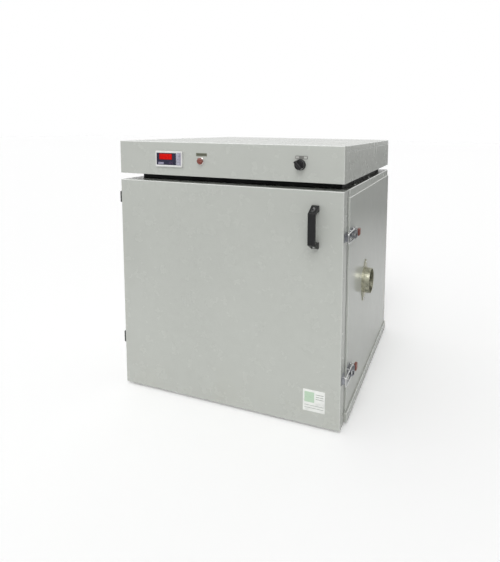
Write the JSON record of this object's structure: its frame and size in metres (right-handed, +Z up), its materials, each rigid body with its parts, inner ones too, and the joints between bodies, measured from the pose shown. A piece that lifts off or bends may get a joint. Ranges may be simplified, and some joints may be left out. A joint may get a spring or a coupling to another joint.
{
  "type": "laboratory drying oven",
  "caption": "Insulated cabinet oven with a side-hinged door held by hook latches, wire shelves, a fan-heated chamber, an eared exhaust spigot and a flat control header.",
  "frame": {"origin": "on the surface that the oven stands on, under the middle of its 760 by 745 mm plan", "axes": "+X to the right seen from the front (the exhaust spigot's way out), +Y to the back, +Z up"},
  "size_m": [0.81, 0.813, 0.839],
  "materials": {
    "light_paint": "satin powder coat, light warm grey",
    "dark_paint": "dark grey powder coat",
    "inner_steel": "bright stainless sheet and rod",
    "galvanised_sheet": "galvanised, slightly yellowed",
    "latch_steel": "black oxide with bright rubbed edges",
    "zinc_plate": "zinc plated, bright",
    "grip_plastic": "brick red moulding",
    "black_plastic": "black moulding, fine grain",
    "knob_plastic": "black, polished",
    "mineral_wool": "pressed mineral wool",
    "silicone": "heat-proof silicone",
    "heater_tube": "heat-stained steel tube",
    "cast_alloy": "bare alloy",
    "probe_steel": "ground rod",
    "bezel_plastic": "pale grey moulding",
    "dark_window": "smoked, polished",
    "key_plastic": "lavender grey moulding",
    "lamp_chrome": "polished",
    "amber_lens": "translucent amber"
  },
  "bodies": {
    "cabinet": {"foot_frame": "dark_paint", "base_tray": "light_paint", "casing_wrap": "light_paint", "side_cover_left": "light_paint", "side_cover_right": "light_paint", "back_panel": "light_paint", "insulation": "mineral_wool", "chamber": "inner_steel", "front_frame": "inner_steel", "shelf_runner_left": "inner_steel", "shelf_runner_right": "inner_steel", "air_baffle": "inner_steel", "heater_element": "heater_tube", "fan_motor": "cast_alloy", "temperature_probe": "probe_steel", "exhaust_spigot": "galvanised_sheet", "casing_screws": "zinc_plate", "hinge_casing_leaf_upper": "dark_paint", "hinge_casing_leaf_lower": "dark_paint", "hinge_pins": "zinc_plate", "latch_base_upper": "latch_steel", "latch_base_lower": "latch_steel", "latch_pins": "zinc_plate", "plinth": "dark_paint", "header_tray": "light_paint", "header_back": "light_paint", "header_front": "light_paint", "header_lid": "light_paint", "controller_housing": "bezel_plastic", "controller_window": "dark_window", "lamp_holder": "lamp_chrome", "lamp_lens": "amber_lens", "selector_switch": "black_plastic", "power_relay": "cast_alloy", "cable_gland": "black_plastic"},
    "door": {"door_skin": "light_paint", "door_inner_pan": "inner_steel", "door_insulation": "mineral_wool", "door_gasket": "silicone", "handle": "black_plastic", "handle_screws": "zinc_plate", "hinge_door_leaf_upper": "dark_paint", "hinge_door_leaf_lower": "dark_paint", "latch_keeper_upper": "latch_steel", "latch_keeper_lower": "latch_steel", "door_screws": "zinc_plate"},
    "selector": {"selector_knob": "knob_plastic"},
    "fan": {"fan_wheel": "cast_alloy"},
    "upper_latch_lever": {"latch_lever_upper": "latch_steel", "latch_grip_upper": "grip_plastic"},
    "upper_latch_hook": {"latch_hook_upper": "zinc_plate"},
    "lower_latch_lever": {"latch_lever_lower": "latch_steel", "latch_grip_lower": "grip_plastic"},
    "lower_latch_hook": {"latch_hook_lower": "zinc_plate"},
    "key_1": {"controller_key_1": "key_plastic"},
    "key_2": {"controller_key_2": "key_plastic"},
    "key_3": {"controller_key_3": "key_plastic"},
    "key_4": {"controller_key_4": "key_plastic"},
    "upper_shelf": {"shelf_upper": "inner_steel"},
    "lower_shelf": {"shelf_lower": "inner_steel"}
  },
  "joints": [
    {"name": "door_hinge", "type": "hinge", "parent": "cabinet", "child": "door", "pos_m": [-0.394, -0.3515, 0.405], "axis": [0, 0, -1], "range_deg": [0, 115]},
    {"name": "upper_lever_swing", "type": "hinge", "parent": "cabinet", "child": "upper_latch_lever", "pos_m": [0.396, -0.304, 0.58], "axis": [0, 0, -1], "range_deg": [0, 115]},
    {"name": "upper_hook_swing", "type": "hinge", "parent": "upper_latch_lever", "child": "upper_latch_hook", "pos_m": [0.3935, -0.288, 0.58], "axis": [0, 0, -1], "range_deg": [-115, 0]},
    {"name": "lower_lever_swing", "type": "hinge", "parent": "cabinet", "child": "lower_latch_lever", "pos_m": [0.396, -0.304, 0.158], "axis": [0, 0, -1], "range_deg": [0, 115]},
    {"name": "lower_hook_swing", "type": "hinge", "parent": "lower_latch_lever", "child": "lower_latch_hook", "pos_m": [0.3935, -0.288, 0.158], "axis": [0, 0, -1], "range_deg": [-115, 0]},
    {"name": "selector_turn", "type": "hinge", "parent": "cabinet", "child": "selector", "pos_m": [0.251, -0.38, 0.783], "axis": [0, 1, 0], "range_deg": [0, 90]},
    {"name": "key_1_press", "type": "slide", "parent": "cabinet", "child": "key_1", "axis": [0, 1, 0], "range_m": [0, 0.0008], "stiffness_N_per_m": 600, "springref_m": -0.001},
    {"name": "key_2_press", "type": "slide", "parent": "cabinet", "child": "key_2", "axis": [0, 1, 0], "range_m": [0, 0.0008], "stiffness_N_per_m": 600, "springref_m": -0.001},
    {"name": "key_3_press", "type": "slide", "parent": "cabinet", "child": "key_3", "axis": [0, 1, 0], "range_m": [0, 0.0008], "stiffness_N_per_m": 600, "springref_m": -0.001},
    {"name": "key_4_press", "type": "slide", "parent": "cabinet", "child": "key_4", "axis": [0, 1, 0], "range_m": [0, 0.0008], "stiffness_N_per_m": 600, "springref_m": -0.001},
    {"name": "upper_shelf_slide", "type": "slide", "parent": "cabinet", "child": "upper_shelf", "axis": [0, -1, 0], "range_m": [0, 0.032]},
    {"name": "lower_shelf_slide", "type": "slide", "parent": "cabinet", "child": "lower_shelf", "axis": [0, -1, 0], "range_m": [0, 0.032]},
    {"name": "fan_spin", "type": "hinge", "parent": "cabinet", "child": "fan", "pos_m": [0, 0.226, 0.362], "axis": [0, 1, 0], "continuous": true}
  ],
  "couplings": [
    {"joint": "upper_hook_swing", "follows": "upper_lever_swing", "ratio": -1},
    {"joint": "lower_hook_swing", "follows": "lower_lever_swing", "ratio": -1}
  ]
}
